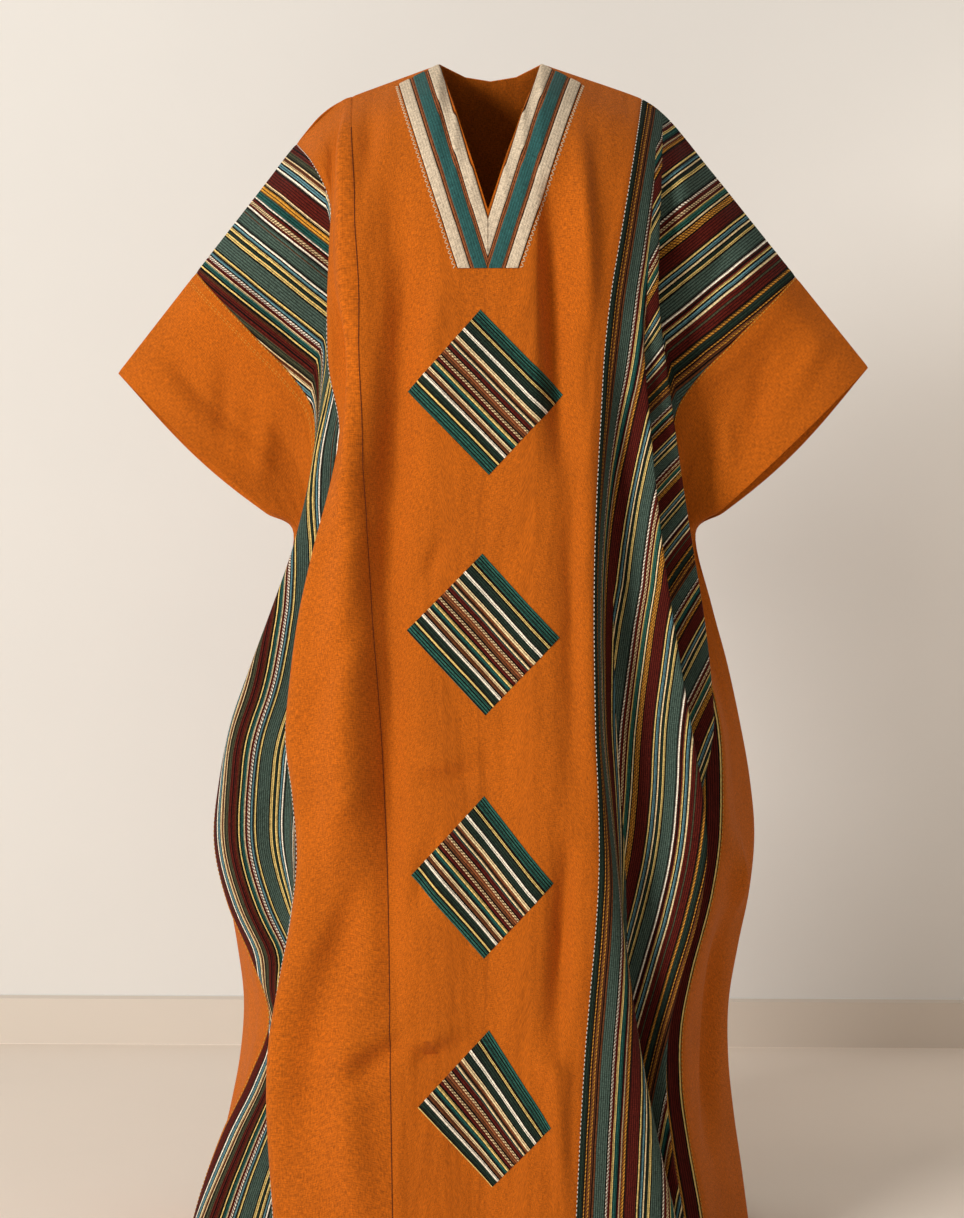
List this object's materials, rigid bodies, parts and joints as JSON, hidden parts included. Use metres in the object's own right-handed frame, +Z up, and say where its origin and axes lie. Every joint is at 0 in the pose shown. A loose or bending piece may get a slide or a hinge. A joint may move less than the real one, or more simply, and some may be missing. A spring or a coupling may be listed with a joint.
{
  "type": "grand boubou robe",
  "caption": "Wide floor-length robe of woven cloth with short open sleeves, a V neck edged with taped bands, striped side panels and diamond patches down the front",
  "frame": {"origin": "the middle of the shoulder line, inside the neck opening, where the wearer carries the robe", "axes": "+Z up along the robe, -Y is the front, +X is to the right of someone who looks at the front"},
  "size_m": [0.972, 0.5091, 1.5336],
  "materials": {
    "orange_cloth": "matt woven cloth",
    "striped_cloth": "ribbed woven stripes",
    "band_ground": "matt woven band",
    "cream_tape": "matt woven tape",
    "teal_tape": "matt woven tape"
  },
  "bodies": {
    "root": {"front_centre": "orange_cloth", "front_side_left": "orange_cloth", "front_cuff_left": "orange_cloth", "front_outer_left": "orange_cloth", "front_cuff_right": "orange_cloth", "front_outer_right": "orange_cloth", "back_centre": "orange_cloth", "back_cuff_left": "orange_cloth", "back_outer_left": "orange_cloth", "back_cuff_right": "orange_cloth", "back_outer_right": "orange_cloth", "front_stripe_left": "striped_cloth", "front_stripe_right": "striped_cloth", "back_stripe_left": "striped_cloth", "back_stripe_right": "striped_cloth", "diamond_patch_1": "striped_cloth", "diamond_patch_2": "striped_cloth", "diamond_patch_3": "striped_cloth", "diamond_patch_4": "striped_cloth", "neckband_left": "band_ground", "tape_cream_inner_left": "cream_tape", "tape_cream_outer_left": "cream_tape", "tape_teal_left": "teal_tape", "neckband_right": "band_ground", "tape_cream_inner_right": "cream_tape", "tape_cream_outer_right": "cream_tape", "tape_teal_right": "teal_tape", "neckband_back": "band_ground", "tape_cream_inner_back": "cream_tape", "tape_cream_outer_back": "cream_tape", "tape_teal_back": "teal_tape"}
  },
  "joints": []
}
